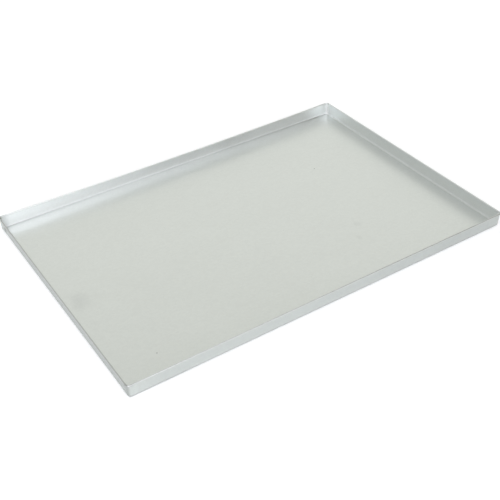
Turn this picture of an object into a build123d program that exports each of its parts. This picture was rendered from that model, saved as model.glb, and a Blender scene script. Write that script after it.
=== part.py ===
from build123d import *
import os
from math import acos, cos, degrees, radians, sin

# Shallow drip pan for draining oil, folded up from one galvanised sheet, in millimetres.
# The frame: +X along the long side, +Z up, origin on the ground at the middle of the underside.

# Driving dimensions
PAN_LENGTH = 914.4  # outside the rolled rim, along X (36 in)
PAN_WIDTH = 627.0  # outside the rolled rim, along Y
PAN_HEIGHT = 31.8  # ground to the top of the rim (1 1/4 in)
SHEET = 0.6  # sheet thickness with its zinc coat
WIRE_DIAMETER = 2.4  # steel wire rolled into the rim
WIRE_CLEARANCE = 0.05  # between the wire and the roll around it
WIRE_BUTT_GAP = 0.4  # where the two ends of the bent wire meet
RIM_CORNER_RADIUS = 9.0  # plan radius outside the rolled rim
BEND_RADIUS = 4.2  # outside radius of the bend from floor to wall
EAR_LAP = 26.0  # length of each corner ear along the end wall
EAR_GAP = 0.1  # between an ear and the end wall that it covers
EAR_CHAMFER = 7.0  # clipped lower corner of an ear
ROLL_END_ANGLE = 75.0  # how far below level the rolled edge tucks in
SOLDER_WALL_REACH = 2.0  # how far solder spreads along the end wall
SOLDER_CORNER_ANGLE = 27.0  # how far solder spreads round the corner
SOLDER_CROWN = 0.22  # how far the solder bulges from straight

# Worked-out dimensions. A wall section is drawn with u outward and z up; u = 0 is the middle
# of the rim bead, which is also the outer face of the long walls.
HALF_SHEET = SHEET / 2
WIRE_RADIUS = WIRE_DIAMETER / 2
ROLL_RADIUS = WIRE_RADIUS + WIRE_CLEARANCE + HALF_SHEET
BEAD_RADIUS = ROLL_RADIUS + HALF_SHEET
BEAD_HEIGHT = PAN_HEIGHT - BEAD_RADIUS
BEAD_X = PAN_LENGTH / 2 - BEAD_RADIUS
BEAD_Y = PAN_WIDTH / 2 - BEAD_RADIUS
CORNER_RADIUS = RIM_CORNER_RADIUS - BEAD_RADIUS
CORNER_X = BEAD_X - CORNER_RADIUS
CORNER_Y = BEAD_Y - CORNER_RADIUS
BEND_CENTRE = BEND_RADIUS - HALF_SHEET
FLOOR_EDGE = BEND_RADIUS + EAR_GAP + SHEET + 1.0
LONG_WALL_SETBACK = 0.0
END_WALL_SETBACK = SHEET + EAR_GAP

SIDES = ((1, 1), (-1, 1), (-1, -1), (1, -1))


def jog_angle(setback):
    """Degrees by which a wall leans in below the rim, to run on into the roll."""
    wall_middle = -HALF_SHEET - setback
    return degrees(acos((ROLL_RADIUS - wall_middle) / (2 * ROLL_RADIUS)))


def jog_height(setback):
    """Height at which a wall starts to lean in below the rim."""
    return BEAD_HEIGHT - 2 * ROLL_RADIUS * sin(radians(jog_angle(setback)))


def wall_section(setback):
    """Sheet section from the floor up the wall and round the rim wire, in the XZ plane."""
    middle = -HALF_SHEET - setback
    jog = jog_angle(setback)
    start = jog_height(setback)
    bend = (middle - BEND_CENTRE, HALF_SHEET + BEND_CENTRE)
    lean = (middle - ROLL_RADIUS, start)
    bead = (0, BEAD_HEIGHT)
    turn = 180 + jog + ROLL_END_ANGLE
    edges = []
    for side in (1, -1):
        skin = side * HALF_SHEET
        floor_z = HALF_SHEET - skin
        floor_end = (-FLOOR_EDGE, floor_z)
        edges += [
            Line(floor_end, (bend[0], floor_z)),
            CenterArc(bend, BEND_CENTRE + skin, -90, 90),
            Line((middle + skin, bend[1]), (middle + skin, start)),
            CenterArc(lean, ROLL_RADIUS + skin, 0, jog),
            CenterArc(bead, ROLL_RADIUS - skin, 180 + jog, -turn),
        ]
    tip = (cos(radians(ROLL_END_ANGLE)), -sin(radians(ROLL_END_ANGLE)))
    inner_tip = (tip[0] * (BEAD_RADIUS - SHEET), BEAD_HEIGHT + tip[1] * (BEAD_RADIUS - SHEET))
    outer_tip = (tip[0] * BEAD_RADIUS, BEAD_HEIGHT + tip[1] * BEAD_RADIUS)
    edges += [Line(inner_tip, outer_tip), Line((-FLOOR_EDGE, 0), (-FLOOR_EDGE, SHEET))]
    return Plane.XZ * make_face(edges)


def long_wall(side):
    """Front (-1) or rear (+1) wall, with its rim, between the corners."""
    section = Pos(CORNER_X, side * BEAD_Y, 0) * Rot(0, 0, side * 90) * wall_section(LONG_WALL_SETBACK)
    return extrude(section, 2 * CORNER_X, dir=(-1, 0, 0))


def end_wall(side):
    """Left (-1) or right (+1) wall, with its rim, set in by the thickness of the ears."""
    turned = Rot(0, 0, 90 - side * 90)
    section = Pos(side * BEAD_X, CORNER_Y, 0) * turned * wall_section(END_WALL_SETBACK)
    return extrude(section, 2 * CORNER_Y, dir=(0, -1, 0))


def corner(side_x, side_y):
    """Rounded corner between two walls, which continues the long wall."""
    start = {(1, 1): 0, (-1, 1): 90, (-1, -1): 180, (1, -1): 270}[side_x, side_y]
    centre = Pos(side_x * CORNER_X, side_y * CORNER_Y, 0)
    section = Pos(CORNER_RADIUS, 0, 0) * wall_section(LONG_WALL_SETBACK)
    return centre * Rot(0, 0, start) * revolve(section, Axis.Z, 90)


def ear(side_x, side_y):
    """Flap of the long wall that laps over the outside of the end wall, under the rim."""
    top = jog_height(LONG_WALL_SETBACK)
    outline = [
        (0, BEND_RADIUS),
        (0, top),
        (-EAR_LAP, top),
        (-EAR_LAP, BEND_RADIUS + EAR_CHAMFER),
        (-EAR_LAP + EAR_CHAMFER, BEND_RADIUS),
    ]
    points = [(side_x * (BEAD_X - SHEET), side_y * (CORNER_Y + y), z) for y, z in outline]
    face = make_face(Polyline(*points, close=True))
    return extrude(face, SHEET, dir=(side_x, 0, 0))


def rim_path(radius_out):
    """Rounded rectangle in plan, radius_out outside the middle of the rim bead."""
    length = 2 * (BEAD_X + radius_out)
    width = 2 * (BEAD_Y + radius_out)
    return RectangleRounded(length, width, CORNER_RADIUS + radius_out)


def pan_sheet():
    """Floor, four walls, corner ears and rolled rim, all one folded sheet."""
    floor = extrude(rim_path(-FLOOR_EDGE), SHEET)
    pieces = [long_wall(side) for side in (1, -1)]
    pieces += [end_wall(side) for side in (1, -1)]
    pieces += [corner(*sides) for sides in SIDES]
    pieces += [ear(*sides) for sides in SIDES]
    return floor.fuse(*pieces)


def rim_wire():
    """One length of steel wire bent round inside the rim, its ends butted behind."""
    circle = Plane.XZ * Circle(WIRE_RADIUS)
    pieces = []
    for side in (1, -1):
        run = Pos(side * BEAD_X, CORNER_Y, BEAD_HEIGHT) * circle
        pieces.append(extrude(run, 2 * CORNER_Y, dir=(0, -1, 0)))
        run = Pos(CORNER_X, side * BEAD_Y, BEAD_HEIGHT) * Rot(0, 0, 90) * circle
        pieces.append(extrude(run, 2 * CORNER_X, dir=(-1, 0, 0)))
    for turn, (side_x, side_y) in enumerate(SIDES):
        bend = revolve(Pos(CORNER_RADIUS, 0, 0) * circle, Axis.Z, 90)
        centre = Pos(side_x * CORNER_X, side_y * CORNER_Y, BEAD_HEIGHT)
        pieces.append(centre * Rot(0, 0, 90 * turn) * bend)
    hoop = pieces[0].fuse(*pieces[1:])
    butt = Pos(0, BEAD_Y, BEAD_HEIGHT) * Box(WIRE_BUTT_GAP, 2 * WIRE_DIAMETER, 2 * WIRE_DIAMETER)
    return hoop - butt


def corner_solder(side_x, side_y, sheet):
    """Bead of solder down the inside of a corner, over the end of the end wall."""
    inner_radius = CORNER_RADIUS - SHEET
    wall_face = CORNER_RADIUS - END_WALL_SETBACK - SHEET
    reach = radians(SOLDER_CORNER_ANGLE)
    low = (wall_face, -SOLDER_WALL_REACH)
    high = (inner_radius * cos(reach), inner_radius * sin(reach))
    crown = ((low[0] + high[0]) / 2 - SOLDER_CROWN, (low[1] + high[1]) / 2)
    mid = (inner_radius * cos(reach / 2), inner_radius * sin(reach / 2))
    outline = [
        ThreePointArc(low, crown, high),
        ThreePointArc(high, mid, (inner_radius, 0)),
        Line((inner_radius, 0), (wall_face, 0)),
        Line((wall_face, 0), low),
    ]
    height = jog_height(LONG_WALL_SETBACK) - SHEET
    bead = extrude(Pos(0, 0, SHEET) * make_face(outline), height)
    if side_x * side_y < 0:
        bead = mirror(bead, Plane.XZ)
    if side_x < 0:
        bead = Rot(0, 0, 180) * bead
    placed = Pos(side_x * CORNER_X, side_y * CORNER_Y, 0) * bead
    return max((placed - sheet).solids(), key=lambda solid: solid.volume)


def main():
    os.makedirs("parts", exist_ok=True)
    sheet = pan_sheet()
    nodes = {"pan_sheet": sheet, "rim_wire": rim_wire()}
    for side_x, side_y in SIDES:
        place = ("rear" if side_y > 0 else "front") + ("_right" if side_x > 0 else "_left")
        nodes["corner_solder_" + place] = corner_solder(side_x, side_y, sheet)
    for name, shape in nodes.items():
        shape.label = name
        export_step(shape, "parts/" + name + ".step")


main()
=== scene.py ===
import math

import bpy
import numpy as np
from mathutils import Matrix, Vector, noise


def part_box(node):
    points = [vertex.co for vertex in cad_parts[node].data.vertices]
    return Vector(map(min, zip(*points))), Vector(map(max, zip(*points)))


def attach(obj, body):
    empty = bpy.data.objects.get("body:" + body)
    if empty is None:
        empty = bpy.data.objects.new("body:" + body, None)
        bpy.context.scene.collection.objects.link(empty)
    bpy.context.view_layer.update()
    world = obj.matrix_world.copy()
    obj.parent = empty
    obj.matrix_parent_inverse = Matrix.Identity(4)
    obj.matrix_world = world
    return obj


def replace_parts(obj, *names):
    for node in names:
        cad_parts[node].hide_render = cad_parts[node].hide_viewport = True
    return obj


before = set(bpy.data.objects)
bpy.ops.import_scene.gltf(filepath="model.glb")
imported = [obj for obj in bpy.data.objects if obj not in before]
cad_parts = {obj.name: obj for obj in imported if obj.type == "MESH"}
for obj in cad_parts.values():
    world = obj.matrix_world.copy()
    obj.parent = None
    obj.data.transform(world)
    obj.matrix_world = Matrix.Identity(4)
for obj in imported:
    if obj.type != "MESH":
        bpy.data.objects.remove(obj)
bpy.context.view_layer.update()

# ---------------------------------------------------------------- sizes, in metres
# From the frame: outline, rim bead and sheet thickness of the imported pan.
MM = 0.001
SHEET_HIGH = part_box("pan_sheet")[1]
WIRE_LOW, WIRE_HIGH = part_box("rim_wire")
WIRE_RADIUS = (WIRE_HIGH.z - WIRE_LOW.z) / 2
BEAD_RADIUS = SHEET_HIGH.z - WIRE_HIGH.z + WIRE_RADIUS
WIRE_CLEARANCE = 0.05 * MM
SHEET = BEAD_RADIUS - WIRE_RADIUS - WIRE_CLEARANCE
HEIGHT = SHEET_HIGH.z
BEAD_X = SHEET_HIGH.x - BEAD_RADIUS
BEAD_Y = SHEET_HIGH.y - BEAD_RADIUS
BEAD_Z = SHEET_HIGH.z - BEAD_RADIUS

# The same folds as the CAD sheet has.
RIM_CORNER_RADIUS = 9.0 * MM
CORNER_RADIUS = RIM_CORNER_RADIUS - BEAD_RADIUS
BEND_RADIUS = 4.2 * MM
EAR_LAP = 26.0 * MM
EAR_GAP = 0.1 * MM
EAR_CHAMFER = 7.0 * MM
ROLL_END = math.radians(75)
END_WALL_SETBACK = SHEET + EAR_GAP
WIRE_BUTT_GAP = 0.4 * MM
FLOOR_EDGE = BEND_RADIUS + END_WALL_SETBACK + 1.0 * MM  # where wall and floor meshes meet
CORNER_X = BEAD_X - CORNER_RADIUS
CORNER_Y = BEAD_Y - CORNER_RADIUS

# How a hand-folded thin sheet settles, always inward of the CAD outline.
WALL_ZONE = 3 * BEND_RADIUS  # how far in from the rim the walls' own settling reaches
FLARE = 1.3 * MM  # how far a wall's foot stands in from its rim
LEAN_POWER = 1.3  # how much of a bow is left to the upper part of a wall
REAR_BOW = 6.5 * MM
FRONT_BOW = 0.3 * MM
END_BOW = 0.1 * MM
RIM_WAVER = 0.35 * MM
WAVERS_PER_METRE = 7
WAVER_SEED = 3.1
FLOOR_WAVE = 0.55 * MM
FLOOR_WAVE_LENGTH = 230 * MM
FLOOR_WAVE_SEED = 8.7
FLOOR_FADE = 70 * MM

# Folded and soldered corners.
JOGGLE_START = 0.8 * MM  # past the corner's curve, where the end wall begins to step in
JOGGLE_END = 2.2 * MM
EAR_EDGE = 0.12 * MM  # how far the cut edges of an ear are eased
EAR_EDGE_SHARE = 0.04  # the same up the ear, as a share of its height
SOLDER_REACH = 2.7 * MM  # along the end wall
SOLDER_TURN = math.radians(36)  # round the corner
SOLDER_CROWN = 0.05 * MM
SOLDER_ROOT = 0.15 * MM  # how deep the bead goes into the sheet
SOLDER_FOOT = math.radians(22)  # where on the bend its lower tip lies, up from the floor
SOLDER_POOL = 6.0 * MM  # how far up the pool at its foot reaches
SOLDER_TIPS = (3.0 * MM, 0.8 * MM)  # lengths of its lower and upper tips
TIP_WIDTH = 0.05  # share of the full width left at the very tip
# How much of the reach, turn and crown changes along the bead, and is added in the pool.
DRIFTS_PER_METRE = 160
DRIFT_SEEDS = (5.3, 9.1)
REACH_DRIFT, REACH_POOL = 0.12, 0.3
TURN_DRIFT, TURN_POOL = 0.25, 0.5
CROWN_DRIFT, CROWN_POOL = 0.5, 1.0

# Mesh density.
FLOOR_STEP = 12.0 * MM
CORNER_STEPS = 14
ROLL_STEPS = 30
JOG_STEPS = 6
BEND_STEPS = 8
WALL_STEPS = 6
WIRE_STEPS = 24
EAR_STEPS = 6
SOLDER_LEVELS = 56
SOLDER_STEPS = 10
SHARP_ANGLE = math.radians(22)

# ---------------------------------------------------------------- looks
# A noise is (grains per metre on each axis, detail, roughness); a bump is (strength, distance).
NOISE_SPAN = (0.3, 0.7)

# Zinc coat: the upper face, and a darker copy for the under face, whose outer walls it darkens as
# painted shade.
ZINC = (0.738, 0.760, 0.747)
ZINC_SHADED = (0.603, 0.633, 0.614)
ZINC_ROUGH = 0.35
SPANGLES_PER_METRE = 210.0
SPANGLE_TONE = (0.985, 1.015)
SPANGLE_ROUGH = (-0.012, 0.012)
SPANGLE_RELIEF = 0.5
GRAIN = ((14.0, 1500.0, 1500.0), 3.0, 0.5)
GRAIN_TONE = (0.99, 1.01)
GRAIN_ROUGH = (-0.02, 0.02)
CLOUDS = ((5.0, 9.0, 9.0), 4.0, 0.55)
CLOUD_TONE = (0.985, 1.012)
CLOUD_ROUGH = (-0.02, 0.02)
ZINC_BUMP = (0.06, 0.1 * MM)
# Handling smudges and specks: x and y as fractions of the half size, radius and edge softness.
SMUDGES = (
    (-0.92, -0.05, 0.026, 0.022),
    (-0.91, -0.35, 0.018, 0.016),
    (0.44, -0.42, 0.008, 0.006),
    (0.38, -0.55, 0.008, 0.006),
)
SMEARS = ((28.0, 11.0, 30.0), 3.0, 0.5)
SMEAR_SPAN = (0.38, 0.62)
SMUDGE_TONE = 0.97
SMUDGE_ROUGH = 0.09
SPECKS = (
    (0.571, 0.340, 0.0013, 0.0004),
    (-0.785, -0.760, 0.0012, 0.0004),
    (0.12, -0.18, 0.0005, 0.0002),
    (-0.33, 0.46, 0.0005, 0.0002),
)
SPECK_TONE = 0.45
SPECK_ROUGH = 0.3
# Painted shade: how much light is left at the right end and on the end walls. It covers the under
# face. On the upper face it lies only on the roll, darkened further there: outside its crest in front,
# and from a little inside it on the left.
SHADE_START_END = (-0.25, 0.50)
UNDER_SHADE_TONES = (0.84, 0.70)
ROLL_SHADE_TONES = (0.88, 0.83)
ROLL_SHADE_DEPTH = 0.85
ROLL_LEFT = 1.4 * BEAD_RADIUS - BEAD_X
ROLL_FADE = 0.6 * BEAD_RADIUS
# Painted highlight on the rear wall: how much brighter it is at its foot and under its rim.
REAR_HIGHLIGHT = (-0.01, 0.13)
REAR_START_END = (BEAD_Y - 5 * BEND_RADIUS, BEAD_Y - 3 * BEND_RADIUS)
# Painted shade: a dark line along the foot of the walls, inside, that dims the fold's reflection.
CREASE_SHADE = 0.86
CREASE_EDGE = 0.8 * MM
CREASE_INSET = 1.7 * MM
CREASE_Y = BEAD_Y - SHEET - FLARE - CREASE_INSET
CREASE_X = CREASE_Y - BEAD_Y + BEAD_X - END_WALL_SETBACK
CREASE_LOW_HIGH = (0.6 * BEND_RADIUS, BEND_RADIUS)
# The coat is rougher where the corners were formed, and a little way along the sides; it is darker there
# too, painted shade that dims the corners' highlight.
CORNER_SHADE_TONE = 0.87
FORMED_ROUGH = 0.08
FORMED_REACH = 25 * MM
FORMED_END = CORNER_RADIUS / 2

WIRE_STEEL = (0.40, 0.41, 0.41)
WIRE_MOTTLE = ((180.0, 180.0, 900.0), 4.0, 0.5)
WIRE_TONE = (0.7, 1.0)
WIRE_ROUGH = (0.32, 0.5)
WIRE_LINES = ((40.0, 40.0, 6000.0), 2.0, 0.5)
WIRE_BUMP = (0.2, 0.05 * MM)

TIN = (0.97, 0.98, 0.97)
TIN_SKIN = ((260.0, 260.0, 260.0), 3.0, 0.5)
TIN_SKIN_SPAN = (0.35, 0.65)
TIN_TONE = (0.93, 1.0)
TIN_ROUGH = (0.62, 0.52)
TIN_RIPPLES = ((700.0, 700.0, 420.0), 3.0, 0.5)
TIN_BUMP = (0.15, 0.2 * MM)

# Stage: matt, with a glow that is painted light, stronger on the left, and ends under the pan's edge,
# so that the pan still has its contact shade, a painted shadow made by the glow's fade.
STAGE_RADIUS = 9.0
STAGE_SIDES = 96
STAGE_Z = -0.0003
STAGE_WHITE = 0.86
STAGE_MOTTLE = 0.005
STAGE_ROUGH = 0.95
STAGE_FIBRE = ((60.0, 60.0, 60.0), 4.0, 0.5)
STAGE_TINT = (0.98, 1.0, 1.0)
STAGE_GLOW = (0.38, 0.28)
STAGE_GLOW_START_END = (-SHEET_HIGH.x, -0.8 * SHEET_HIGH.x)
STAGE_SHADE = (-5.2 * MM, -1.9 * MM)  # how far inside the outline the glow starts and is full
STAGE_SHADE_INSET = 1.4 * MM  # the same is this much further in at the two ends

STUDIO_WHITE = (0.80, 0.80, 0.795)
# azimuth, elevation, angle where it starts, angle where it is full, colour
STUDIO_LOBES = (
    (-20.0, 36.0, 51.0, 25.0, (1.31, 1.31, 1.42)),
    (65.0, 32.0, 43.0, 12.0, (-0.46, -0.47, -0.51)),
    (147.0, 36.0, 45.0, 15.0, (0.155, 0.165, 0.125)),
    (-145.0, 30.0, 45.0, 15.0, (0.08, 0.09, 0.08)),
    (-110.0, 35.0, 35.0, 10.0, (-0.08, -0.08, -0.08)),
    (0.0, 90.0, 60.0, 20.0, (-0.30, -0.30, -0.30)),
)

CAMERA_AZIMUTH = -32.35
CAMERA_ELEVATION = 37.39
CAMERA_ROLL = -1.63
CAMERA_DISTANCE = 1.8869
CAMERA_TARGET = (-0.0436, -0.0735, 0.0)
CAMERA_LENS = 63.64
CAMERA_SENSOR = 36.0


# ---------------------------------------------------------------- how the sheet settles
def smooth(low, high, value):
    """0 below low, 1 above high, and an even S between them."""
    t = min(1.0, max(0.0, (value - low) / (high - low)))
    return t * t * (3 - 2 * t)


def lean(z):
    """How much of a wall's bow a point at height z takes: none at the fold, all at the rim."""
    return min(1.0, max(0.0, (z - SHEET) / (HEIGHT - SHEET))) ** LEAN_POWER


def settle(x, y, z):
    """Where a point of the ideal pan lies on the real one: the walls lean out a little towards
    their rims, the rims bow in between the corners, and the floor is slightly uneven."""
    along_x = max(0.0, 1 - (x / CORNER_X) ** 2)
    along_y = max(0.0, 1 - (y / CORNER_Y) ** 2)
    rear = smooth(BEAD_Y - WALL_ZONE, BEAD_Y - WALL_ZONE / 2, y)
    front = smooth(BEAD_Y - WALL_ZONE, BEAD_Y - WALL_ZONE / 2, -y)
    ends = smooth(BEAD_X - WALL_ZONE, BEAD_X - WALL_ZONE / 2, abs(x))
    place = Vector((x * WAVERS_PER_METRE, y * WAVERS_PER_METRE, WAVER_SEED))
    waver = RIM_WAVER * (0.5 + 0.5 * noise.noise(place))
    up = lean(z)
    foot = FLARE * (1 - z / HEIGHT)
    dy = front * (up * (FRONT_BOW * along_x + waver) + foot)
    dy -= rear * (up * (REAR_BOW * along_x + waver) + foot)
    dx = -math.copysign(1.0, x) * ends * (up * (END_BOW * along_y + waver) + foot)
    inside = min(BEAD_X - abs(x), BEAD_Y - abs(y))
    fade = smooth(0.0, FLOOR_FADE, inside - WALL_ZONE)
    place = Vector((x / FLOOR_WAVE_LENGTH, y / FLOOR_WAVE_LENGTH, FLOOR_WAVE_SEED))
    dz = FLOOR_WAVE * fade * (0.5 + 0.5 * noise.noise(place)) if fade > 0 else 0.0
    return x + dx, y + dy, z + dz


# ---------------------------------------------------------------- wall section
def arc(centre, radius, start, turn, steps):
    """Points on an arc in the section plane, without its first one."""
    angles = [start + turn * (i + 1) / steps for i in range(steps)]
    return [(centre[0] + radius * math.cos(a), centre[1] + radius * math.sin(a)) for a in angles]


def wall_section(setback):
    """Both skins of the wall section, inner then outer, each from the floor edge to the roll's tip.
    u is outward from the middle of the rim bead and z is up."""
    half = SHEET / 2
    roll = BEAD_RADIUS - half
    middle = -half - setback
    jog = math.acos((roll - middle) / (2 * roll))
    jog_z = BEAD_Z - 2 * roll * math.sin(jog)
    bend_radius = BEND_RADIUS - half
    bend = (middle - bend_radius, half + bend_radius)
    skins = []
    for side in (-1, 1):
        skin = side * half
        points = [(-FLOOR_EDGE, half - skin), (bend[0], half - skin)]
        points += arc(bend, bend_radius + skin, -math.pi / 2, math.pi / 2, BEND_STEPS)
        for i in range(1, WALL_STEPS + 1):
            points.append((middle + skin, bend[1] + (jog_z - bend[1]) * i / WALL_STEPS))
        points += arc((middle - roll, jog_z), roll + skin, 0, jog, JOG_STEPS)
        turn = -(math.pi + jog + ROLL_END)
        points += arc((0, BEAD_Z), roll - skin, math.pi + jog, turn, ROLL_STEPS)
        skins.append(points)
    return skins


X_STEPS = round(2 * CORNER_X / FLOOR_STEP)
Y_STEPS = round(2 * CORNER_Y / FLOOR_STEP)
XS = np.linspace(-CORNER_X, CORNER_X, X_STEPS + 1).tolist()
YS = np.linspace(-CORNER_Y, CORNER_Y, Y_STEPS + 1).tolist()


def outline():
    """Stations anticlockwise round the rim from the rear right corner, each one
    (x, y, angle of the outward normal, setback of the wall, floor grid point inside it)."""
    stations = []
    for quarter in range(4):
        east, north = ((1, 1), (-1, 1), (-1, -1), (1, -1))[quarter]
        column = X_STEPS if east > 0 else 0
        row = Y_STEPS if north > 0 else 0
        for i in range(CORNER_STEPS + 1):
            angle = math.pi / 2 * (quarter + i / CORNER_STEPS)
            x = east * CORNER_X + CORNER_RADIUS * math.cos(angle)
            y = north * CORNER_Y + CORNER_RADIUS * math.sin(angle)
            stations.append((x, y, angle, 0.0, (column, row)))
        angle = math.pi / 2 * (quarter + 1)
        if quarter in (0, 2):
            for i in list(range(1, X_STEPS))[:: -east]:
                stations.append((XS[i], north * BEAD_Y, angle, 0.0, (i, row)))
        else:
            x = east * BEAD_X
            for inset, setback in ((JOGGLE_START, 0.0), (JOGGLE_END, END_WALL_SETBACK)):
                stations.append((x, north * (CORNER_Y - inset), angle, setback, (column, row)))
            for j in list(range(1, Y_STEPS))[:: -north]:
                stations.append((x, YS[j], angle, END_WALL_SETBACK, (column, j)))
            far = (column, Y_STEPS - row)
            for inset, setback in ((JOGGLE_END, END_WALL_SETBACK), (JOGGLE_START, 0.0)):
                stations.append((x, -north * (CORNER_Y - inset), angle, setback, far))
    return stations


# ---------------------------------------------------------------- mesh helpers
def make_object(name, points, faces, materials, under=()):
    """A smooth-shaded piece of the pan, settled and riding on the only body. The faces numbered
    in under take the second material."""
    mesh = bpy.data.meshes.new(name)
    mesh.from_pydata([settle(*p) for p in points], [], faces)
    for material in materials:
        mesh.materials.append(material)
    for face in under:
        mesh.polygons[face].material_index = 1
    mesh.update()
    mesh.shade_smooth()
    mesh.set_sharp_from_angle(angle=SHARP_ANGLE)
    made = bpy.data.objects.new(name, mesh)
    bpy.context.scene.collection.objects.link(made)
    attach(made, "root")
    return made


def loft(rings, faces):
    """Faces between rows of point numbers, each row a closed ring."""
    count = len(rings[0])
    for row, ahead in zip(rings, rings[1:]):
        for k in range(count):
            n = (k + 1) % count
            faces.append((row[k], row[n], ahead[n], ahead[k]))


# ---------------------------------------------------------------- the sheet
def sheet_walls(points, faces, under):
    """Walls, corners and rolled rim. Returns the point numbers of both edges of the floor."""
    sections = {setback: wall_section(setback) for setback in (0.0, END_WALL_SETBACK)}
    rows = []
    for x, y, angle, setback, _ in outline():
        inner, outer = sections[setback]
        out = (math.cos(angle), math.sin(angle))
        rows.append(range(len(points), len(points) + 2 * len(inner)))
        for u, z in inner + outer[::-1]:
            points.append((x + u * out[0], y + u * out[1], z))
    for row, ahead in zip(rows, rows[1:] + rows[:1]):
        for k in range(len(row) - 1):
            if k >= len(row) // 2:
                under.append(len(faces))
            faces.append((row[k], row[k + 1], ahead[k + 1], ahead[k]))
    return [row[0] for row in rows], [row[-1] for row in rows]


def sheet_floor(points, faces, edge, z, turned):
    """One side of the floor: a grid joined to the edge of the walls, by fans in the corners."""
    grid = {}
    for i, x in enumerate(XS):
        for j, y in enumerate(YS):
            grid[i, j] = len(points)
            points.append((x, y, z))
    made = []
    for i in range(X_STEPS):
        for j in range(Y_STEPS):
            made.append((grid[i, j], grid[i + 1, j], grid[i + 1, j + 1], grid[i, j + 1]))
    anchors = [grid[station[-1]] for station in outline()]
    for k, anchor in enumerate(anchors):
        n = (k + 1) % len(anchors)
        face = (anchor, edge[k], edge[n], anchors[n])
        made.append(face[:3] if anchors[n] == anchor else face)
    faces += [face[::-1] for face in made] if turned else made


def lap_ear(points, faces, east, north):
    """Flap of a long wall lapped over the outside of an end wall, as its own layer of sheet."""
    top = BEAD_Z - WIRE_RADIUS - WIRE_CLEARANCE
    along = [JOGGLE_START] + [EAR_LAP * i / EAR_STEPS for i in range(1, EAR_STEPS)]
    along += [EAR_LAP - EAR_EDGE, EAR_LAP]
    up = [0.0, EAR_EDGE_SHARE] + [i / EAR_STEPS for i in range(1, EAR_STEPS)]
    up += [1 - EAR_EDGE_SHARE, 1.0]
    skins = []
    for face_u, edge_u in ((0.0, -EAR_EDGE), (-SHEET, EAR_EDGE - SHEET)):
        skin = []
        for a, distance in enumerate(along):
            low = BEND_RADIUS + max(0.0, distance - (EAR_LAP - EAR_CHAMFER))
            column = []
            for b, share in enumerate(up):
                border = a == len(along) - 1 or b in (0, len(up) - 1)
                u = edge_u if border else face_u
                column.append(len(points))
                y = north * (CORNER_Y - distance)
                points.append((east * (BEAD_X + u), y, low + share * (top - low)))
            skin.append(column)
        skins.append(skin)
    outer, inner = skins
    made = []
    for a in range(len(along) - 1):
        for b in range(len(up) - 1):
            made.append((outer[a][b], outer[a][b + 1], outer[a + 1][b + 1], outer[a + 1][b]))
            made.append((inner[a][b], inner[a + 1][b], inner[a + 1][b + 1], inner[a][b + 1]))
        made.append((outer[a][0], outer[a + 1][0], inner[a + 1][0], inner[a][0]))
        made.append((outer[a][-1], inner[a][-1], inner[a + 1][-1], outer[a + 1][-1]))
    for b in range(len(up) - 1):
        made.append((outer[-1][b], outer[-1][b + 1], inner[-1][b + 1], inner[-1][b]))
        made.append((outer[0][b], inner[0][b], inner[0][b + 1], outer[0][b + 1]))
    faces += [face[::-1] for face in made] if east * north > 0 else made


def pan_sheet():
    """The whole folded sheet as one object."""
    points, faces, under = [], [], []
    inner_edge, outer_edge = sheet_walls(points, faces, under)
    sheet_floor(points, faces, inner_edge, SHEET, False)
    below = len(faces)
    sheet_floor(points, faces, outer_edge, 0.0, True)
    for east in (1, -1):
        for north in (1, -1):
            lap_ear(points, faces, east, north)
    under += range(below, len(faces))
    materials = (galvanised_sheet("zinc_upper_face"), galvanised_sheet("zinc_under_face", True))
    made = make_object("pan_sheet_folded", points, faces, materials, under)
    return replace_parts(made, "pan_sheet")


# ---------------------------------------------------------------- rim wire
def rim_wire():
    """One bent length of wire in the roll, its two ends butted in the middle of the rear side."""
    angle = math.pi / 2
    path = [station[:3] for station in outline()]
    split = next(k for k, (x, y, _) in enumerate(path) if y > BEAD_Y - MM and x < 0)
    path = path[split:] + path[:split]
    path = [(-WIRE_BUTT_GAP / 2, BEAD_Y, angle)] + path + [(WIRE_BUTT_GAP / 2, BEAD_Y, angle)]
    points, faces, rings = [], [], []
    for x, y, out in path:
        rings.append(list(range(len(points), len(points) + WIRE_STEPS)))
        for k in range(WIRE_STEPS):
            turn = 2 * math.pi * k / WIRE_STEPS
            u = WIRE_RADIUS * math.cos(turn)
            z = BEAD_Z + WIRE_RADIUS * math.sin(turn)
            points.append((x + u * math.cos(out), y + u * math.sin(out), z))
    loft(rings, faces)
    faces += [tuple(rings[0][::-1]), tuple(rings[-1])]
    made = make_object("rim_wire_hoop", points, faces, [rim_wire_steel()])
    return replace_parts(made, "rim_wire")


# ---------------------------------------------------------------- corner solder
def corner_skin(y, radius):
    """Inner face of a corner in plan, before its curve begins at y = 0: it steps in where the end
    wall is joggled behind the ear."""
    share = (-y - JOGGLE_START) / (JOGGLE_END - JOGGLE_START)
    return radius - END_WALL_SETBACK * min(1.0, max(0.0, share))


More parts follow.
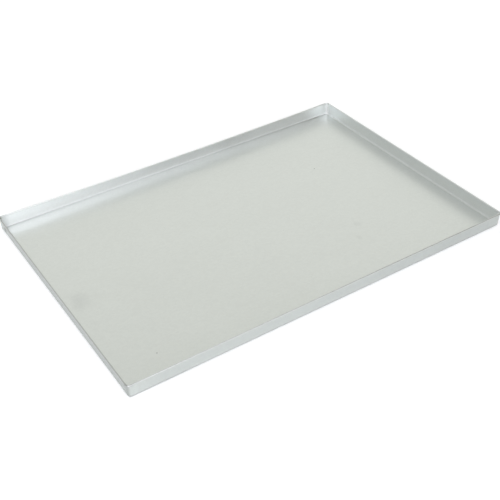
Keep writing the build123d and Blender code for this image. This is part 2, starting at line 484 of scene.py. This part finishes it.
def corner_solder(east, north, tin):
    """Flowed solder down the inside of a corner: a fillet that runs on from the end wall and from
    the curve, with uneven edges, a pool at its foot, and rounded tips on the bend and under the
    rim."""
    bend_depth = BEND_RADIUS - SHEET
    high_z = wall_section(END_WALL_SETBACK)[0][1 + BEND_STEPS + WALL_STEPS][1]
    bend_length = bend_depth * (math.pi / 2 - SOLDER_FOOT)
    length = bend_length + high_z - BEND_RADIUS
    points, faces, rings = [], [], []
    for level in range(SOLDER_LEVELS + 1):
        run = length * level / SOLDER_LEVELS
        around = min(math.pi / 2, SOLDER_FOOT + run / bend_depth)
        z = SHEET + bend_depth * (1 - math.cos(around)) + max(0.0, run - bend_length)
        radius = CORNER_RADIUS - SHEET - bend_depth * (1 - math.sin(around))
        place = (run * DRIFTS_PER_METRE, east * DRIFT_SEEDS[0], north * DRIFT_SEEDS[1])
        drift = noise.noise(Vector(place))
        pool = 1 - smooth(0.0, SOLDER_POOL, run)
        tip = min(1.0, run / SOLDER_TIPS[0], (length - run) / SOLDER_TIPS[1])
        taper = max(TIP_WIDTH, math.sqrt(1 - (1 - tip) ** 2))
        reach = SOLDER_REACH * (1 + REACH_DRIFT * drift + REACH_POOL * pool) * taper
        turn = SOLDER_TURN * (1 - TURN_DRIFT * drift + TURN_POOL * pool) * taper
        start = np.array((corner_skin(-reach, radius), -reach))
        end = radius * np.array((math.cos(turn), math.sin(turn)))
        middle_y = end[1] - (start[0] - end[0]) / math.tan(turn)
        middle = np.array((start[0], middle_y)) if start[0] > end[0] else (start + end) / 2
        crown = SOLDER_CROWN * (1 + CROWN_DRIFT * drift + CROWN_POOL * pool) * taper
        ring = []
        for k in range(SOLDER_STEPS + 1):
            t = k / SOLDER_STEPS
            flow = start * (1 - t) ** 2 + middle * 2 * t * (1 - t) + end * t ** 2
            ring.append(flow - np.array((crown * 4 * t * (1 - t), 0.0)))
        for angle in (turn, turn / 2, 0.0):
            ring.append((radius + SOLDER_ROOT) * np.array((math.cos(angle), math.sin(angle))))
        ring.append(start + np.array((SOLDER_ROOT, 0.0)))
        rings.append(list(range(len(points), len(points) + len(ring))))
        points += [(east * (CORNER_X + x), north * (CORNER_Y + y), z) for x, y in ring]
    loft(rings, faces)
    faces += [tuple(rings[0][::-1]), tuple(rings[-1])]
    if east * north > 0:
        faces = [face[::-1] for face in faces]
    place = ("rear" if north > 0 else "front") + ("_right" if east > 0 else "_left")
    made = make_object("solder_bead_" + place, points, faces, [tin])
    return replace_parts(made, "corner_solder_" + place)


# ---------------------------------------------------------------- materials
def new_material(name):
    """An empty node material: (material, its tree, its shader)."""
    made = bpy.data.materials.new(name)
    made.use_nodes = True
    return made, made.node_tree, made.node_tree.nodes["Principled BSDF"]


def node(tree, kind, inputs=(), **settings):
    """A node with its settings; each input is a value or another node's output socket."""
    made = tree.nodes.new("ShaderNode" + kind)
    for name, value in settings.items():
        setattr(made, name, value)
    for name, value in dict(inputs).items():
        if isinstance(value, bpy.types.NodeSocket):
            tree.links.new(value, made.inputs[name])
        else:
            made.inputs[name].default_value = value
    return made


def maths(tree, operation, a, b=0.0, c=0.0):
    """The output of one Math node."""
    return node(tree, "Math", {0: a, 1: b, 2: c}, operation=operation).outputs[0]


def spread(tree, value, low, high, to_low, to_high, kind="SMOOTHSTEP"):
    """value taken from low..high to to_low..to_high, clamped."""
    inputs = {"Value": value, "From Min": low, "From Max": high, "To Min": to_low, "To Max": to_high}
    return node(tree, "MapRange", inputs, interpolation_type=kind).outputs["Result"]


def multiplied(tree, tone, value, low, high, to_low, to_high, kind="SMOOTHSTEP"):
    """tone times the spread of value."""
    return maths(tree, "MULTIPLY", tone, spread(tree, value, low, high, to_low, to_high, kind))


def added(tree, rough, value, low, high, to_low, to_high, kind="SMOOTHSTEP"):
    """rough plus the spread of value."""
    return maths(tree, "ADD", rough, spread(tree, value, low, high, to_low, to_high, kind))


def stretched(tree, place, scale, detail, roughness):
    """Fractal noise whose grains are 1/scale metres long on each axis."""
    grid = node(tree, "Mapping", {"Vector": place, "Scale": scale}).outputs["Vector"]
    inputs = {"Vector": grid, "Scale": 1.0, "Detail": detail, "Roughness": roughness}
    return node(tree, "TexNoise", inputs).outputs["Fac"]


def coloured(tree, shader, colour, tone):
    """The shader's base colour: colour times tone, as bare metal."""
    made = node(tree, "VectorMath", {0: colour, "Scale": tone}, operation="SCALE").outputs["Vector"]
    tree.links.new(made, shader.inputs["Base Color"])
    shader.inputs["Metallic"].default_value = 1.0


def bumped(tree, shader, height, strength, distance):
    """Relief of the given height on the shader's surface."""
    inputs = {"Strength": strength, "Distance": distance, "Height": height}
    tree.links.new(node(tree, "Bump", inputs).outputs["Normal"], shader.inputs["Normal"])


def spot(tree, place, fraction_x, fraction_y, radius, edge):
    """1 at a place on the tray's floor, given as fractions of the half size, fading at radius."""
    centre = (fraction_x * SHEET_HIGH.x, fraction_y * SHEET_HIGH.y, SHEET)
    away = node(tree, "VectorMath", {0: place, 1: centre}, operation="DISTANCE").outputs["Value"]
    return spread(tree, away, radius - edge, radius + edge, 1.0, 0.0)


def spots(tree, place, marks):
    """The strongest of several spots."""
    total = spot(tree, place, *marks[0])
    for mark in marks[1:]:
        total = maths(tree, "MAXIMUM", total, spot(tree, place, *mark))
    return total


def painted_shade(tree, x, end, right_tone, ends_tone):
    """Painted shade: how much light is left, less towards the right end, and on the end walls."""
    shade_tone = spread(tree, x, *SHADE_START_END, 1.0, right_tone)
    ends = spread(tree, end, CORNER_X, BEAD_X - 2 * END_WALL_SETBACK, 1.0, ends_tone)
    return maths(tree, "MINIMUM", shade_tone, ends)


def upper_face_tone(tree, tone, x, y, z, end, side):
    """Tone with what only the upper face has: the painted shade line at the wall foot, painted shade on
    the roll and the painted highlight on the rear wall.
    """
    # Painted shade: a dark line in the fold at the foot of the walls.
    near_end = spread(tree, end, CREASE_X - CREASE_EDGE, CREASE_X + CREASE_EDGE, 0.0, 1.0)
    near_side = spread(tree, side, CREASE_Y - CREASE_EDGE, CREASE_Y + CREASE_EDGE, 0.0, 1.0)
    low = spread(tree, z, *CREASE_LOW_HIGH, 1.0, 0.0)
    crease_shade = maths(tree, "MULTIPLY", maths(tree, "MAXIMUM", near_end, near_side), low)
    tone = multiplied(tree, tone, crease_shade, 0.0, 1.0, 1.0, CREASE_SHADE)
    # Painted shade on the roll, outside its crest in front and near the left end.
    past_left = maths(tree, "MULTIPLY_ADD", x, -1.0, ROLL_LEFT)
    past_front = maths(tree, "MULTIPLY_ADD", y, -1.0, -BEAD_Y)
    outward = maths(tree, "MAXIMUM", past_left, past_front)
    roll = spread(tree, outward, 0.0, ROLL_FADE, 0.0, 1.0)
    shade_tone = painted_shade(tree, x, end, *ROLL_SHADE_TONES)
    roll_shade = maths(tree, "MULTIPLY_ADD", shade_tone, ROLL_SHADE_DEPTH, -1.0)
    tone = maths(tree, "MULTIPLY", tone, maths(tree, "MULTIPLY_ADD", roll, roll_shade, 1.0))
    # Painted highlight: the rear wall brighter towards its rim.
    rear = spread(tree, y, *REAR_START_END, 0.0, 1.0)
    rear_highlight = spread(tree, z, BEND_RADIUS, BEAD_Z - BEAD_RADIUS, *REAR_HIGHLIGHT, "LINEAR")
    return maths(tree, "MULTIPLY", tone, maths(tree, "MULTIPLY_ADD", rear, rear_highlight, 1.0))


def galvanised_sheet(name, under=False):
    """Bright zinc coat: fine spangle, rolling grain along the pan, faint clouds, handling smudges
    and a few specks, rougher at the formed corners with painted shade there. The under face has
    painted shade; the upper face has a painted shade line at the foot of the walls, painted shade
    on the roll and a painted highlight on the rear wall."""
    made, tree, shader = new_material(name)
    place = node(tree, "TexCoord").outputs["Object"]
    axes = node(tree, "SeparateXYZ", {"Vector": place})
    x, y, z = (axes.outputs[axis] for axis in "XYZ")
    end = maths(tree, "ABSOLUTE", x)
    side = maths(tree, "ABSOLUTE", y)
    inputs = {"Vector": place, "Scale": SPANGLES_PER_METRE, "Randomness": 1.0}
    cells = node(tree, "TexVoronoi", inputs)
    cell = node(tree, "SeparateColor", {"Color": cells.outputs["Color"]})
    grain = stretched(tree, place, *GRAIN)
    clouds = stretched(tree, place, *CLOUDS)
    smears = stretched(tree, place, *SMEARS)
    wear = multiplied(tree, spots(tree, place, SMUDGES), smears, *SMEAR_SPAN, 0.0, 1.0)
    dark = spots(tree, place, SPECKS)
    in_x = spread(tree, end, CORNER_X - FORMED_REACH, CORNER_X + FORMED_END, 0.0, 1.0)
    in_y = spread(tree, side, CORNER_Y - CORNER_RADIUS, CORNER_Y + FORMED_END, 0.0, 1.0)
    corner_rough_and_shade = maths(tree, "MULTIPLY", in_x, in_y)

    tone = spread(tree, cell.outputs["Red"], 0.0, 1.0, *SPANGLE_TONE, "LINEAR")
    tone = multiplied(tree, tone, clouds, *NOISE_SPAN, *CLOUD_TONE)
    tone = multiplied(tree, tone, grain, *NOISE_SPAN, *GRAIN_TONE)
    tone = multiplied(tree, tone, wear, 0.0, 1.0, 1.0, SMUDGE_TONE)
    tone = multiplied(tree, tone, dark, 0.0, 1.0, 1.0, SPECK_TONE)
    if under:
        # Painted shade on the under face, deeper towards the right end and on the end walls.
        tone = maths(tree, "MULTIPLY", tone, painted_shade(tree, x, end, *UNDER_SHADE_TONES))
    else:
        tone = upper_face_tone(tree, tone, x, y, z, end, side)
        # Painted shade at the formed corners.
        tone = multiplied(tree, tone, corner_rough_and_shade, 0.0, 1.0, 1.0, CORNER_SHADE_TONE)
    # The under face takes the darker copy of the zinc colour: painted shade.
    coloured(tree, shader, ZINC_SHADED if under else ZINC, tone)

    spangle_low, spangle_high = (ZINC_ROUGH + change for change in SPANGLE_ROUGH)
    rough = spread(tree, cell.outputs["Green"], 0.0, 1.0, spangle_low, spangle_high, "LINEAR")
    rough = added(tree, rough, clouds, *NOISE_SPAN, *CLOUD_ROUGH)
    rough = added(tree, rough, grain, *NOISE_SPAN, *GRAIN_ROUGH)
    rough = added(tree, rough, wear, 0.0, 1.0, 0.0, SMUDGE_ROUGH)
    rough = added(tree, rough, dark, 0.0, 1.0, 0.0, SPECK_ROUGH)
    rough = added(tree, rough, corner_rough_and_shade, 0.0, 1.0, 0.0, FORMED_ROUGH)
    tree.links.new(rough, shader.inputs["Roughness"])

    relief = maths(tree, "MULTIPLY_ADD", cell.outputs["Blue"], SPANGLE_RELIEF, grain)
    bumped(tree, shader, relief, *ZINC_BUMP)
    return made


def rim_wire_steel():
    """Drawn steel wire: darker than the zinc, with drawing lines round it and a mottled surface."""
    made, tree, shader = new_material("rim_wire_steel")
    place = node(tree, "TexCoord").outputs["Object"]
    mottle = stretched(tree, place, *WIRE_MOTTLE)
    coloured(tree, shader, WIRE_STEEL, spread(tree, mottle, *NOISE_SPAN, *WIRE_TONE))
    tree.links.new(spread(tree, mottle, *NOISE_SPAN, *WIRE_ROUGH), shader.inputs["Roughness"])
    bumped(tree, shader, stretched(tree, place, *WIRE_LINES), *WIRE_BUMP)
    return made


def tin_solder():
    """Flowed solder: brighter than the zinc, frosted and rippled, with a dull skin in patches."""
    made, tree, shader = new_material("tin_solder")
    place = node(tree, "TexCoord").outputs["Object"]
    skin = stretched(tree, place, *TIN_SKIN)
    coloured(tree, shader, TIN, spread(tree, skin, *TIN_SKIN_SPAN, *TIN_TONE))
    tree.links.new(spread(tree, skin, *TIN_SKIN_SPAN, *TIN_ROUGH), shader.inputs["Roughness"])
    bumped(tree, shader, stretched(tree, place, *TIN_RIPPLES), *TIN_BUMP)
    return made


# ---------------------------------------------------------------- stage, light and camera
def stage_floor():
    """Pale matt surface that the pan stands on, glowing faintly as painted light, except under the pan
    where the glow's fade paints a contact shadow.
    """
    turns = [2 * math.pi * i / STAGE_SIDES for i in range(STAGE_SIDES)]
    points = [(STAGE_RADIUS * math.cos(a), STAGE_RADIUS * math.sin(a), STAGE_Z) for a in turns]
    mesh = bpy.data.meshes.new("stage_floor")
    mesh.from_pydata(points, [], [tuple(range(STAGE_SIDES))])
    floor = bpy.data.objects.new("stage_floor", mesh)
    bpy.context.scene.collection.objects.link(floor)
    made, tree, shader = new_material("pale_paper")
    place = node(tree, "TexCoord").outputs["Object"]
    fibre = stretched(tree, place, *STAGE_FIBRE)
    white = (STAGE_WHITE - STAGE_MOTTLE, STAGE_WHITE + STAGE_MOTTLE)
    tree.links.new(spread(tree, fibre, *NOISE_SPAN, *white), shader.inputs["Base Color"])
    shader.inputs["Roughness"].default_value = STAGE_ROUGH
    shader.inputs["Specular IOR Level"].default_value = 0.0
    shader.inputs["Emission Color"].default_value = (*STAGE_TINT, 1.0)
    axes = node(tree, "SeparateXYZ", {"Vector": place})
    end = maths(tree, "ABSOLUTE", axes.outputs["X"])
    side = maths(tree, "ABSOLUTE", axes.outputs["Y"])
    past_end = maths(tree, "SUBTRACT", end, SHEET_HIGH.x - STAGE_SHADE_INSET)
    past_side = maths(tree, "SUBTRACT", side, SHEET_HIGH.y)
    outward = maths(tree, "MAXIMUM", past_end, past_side)
    # Painted light: the stage glows, more on the left.
    glow = spread(tree, axes.outputs["X"], *STAGE_GLOW_START_END, *STAGE_GLOW)
    # Painted contact shadow: the glow fades out under the pan's edge.
    glow = multiplied(tree, glow, outward, *STAGE_SHADE, 0.0, 1.0)
    tree.links.new(glow, shader.inputs["Emission Strength"])
    mesh.materials.append(made)


def direction(azimuth, elevation):
    """Unit vector towards a place in the studio; azimuth 0 is the front and 90 the right."""
    a, e = math.radians(azimuth), math.radians(elevation)
    return (math.sin(a) * math.cos(e), -math.cos(a) * math.cos(e), math.sin(e))


def studio_light():
    """White studio all round, with soft brighter and dimmer regions."""
    world = bpy.data.worlds.new("studio")
    bpy.context.scene.world = world
    world.use_nodes = True
    tree = world.node_tree
    towards = node(tree, "TexCoord").outputs["Generated"]
    total = STUDIO_WHITE
    for azimuth, elevation, outer, inner, colour in STUDIO_LOBES:
        axis = direction(azimuth, elevation)
        near = node(tree, "VectorMath", {0: towards, 1: axis}, operation="DOT_PRODUCT").outputs["Value"]
        edges = [math.cos(math.radians(angle)) for angle in (outer, inner)]
        share = spread(tree, near, *edges, 0.0, 1.0)
        lobe = node(tree, "VectorMath", {0: colour, "Scale": share}, operation="SCALE").outputs["Vector"]
        total = node(tree, "VectorMath", {0: total, 1: lobe}, operation="ADD").outputs[0]
    background = tree.nodes["Background"]
    tree.links.new(total, background.inputs["Color"])
    background.inputs["Strength"].default_value = 1.0


def camera():
    """Where the photographer stood: front left of the pan and above it, a normal lens."""
    az, el, roll = (math.radians(v) for v in (CAMERA_AZIMUTH, CAMERA_ELEVATION, CAMERA_ROLL))
    back = Vector((math.sin(az) * math.cos(el), -math.cos(az) * math.cos(el), math.sin(el)))
    right = Vector((math.cos(az), math.sin(az), 0))
    up = back.cross(right)
    side = right * math.cos(roll) + up * math.sin(roll)
    top = up * math.cos(roll) - right * math.sin(roll)
    place = Vector(CAMERA_TARGET) + back * CAMERA_DISTANCE
    data = bpy.data.cameras.new("camera")
    data.lens = CAMERA_LENS
    data.sensor_width = CAMERA_SENSOR
    made = bpy.data.objects.new("camera", data)
    rows = [(side[i], top[i], back[i], place[i]) for i in range(3)]
    made.matrix_world = Matrix(rows + [(0, 0, 0, 1)])
    bpy.context.scene.collection.objects.link(made)
    bpy.context.scene.camera = made


# ---------------------------------------------------------------- the scene
pan_sheet()
rim_wire()
solder = tin_solder()
for east in (1, -1):
    for north in (1, -1):
        corner_solder(east, north, solder)
stage_floor()
studio_light()
camera()
bpy.context.scene.view_settings.view_transform = "Standard"
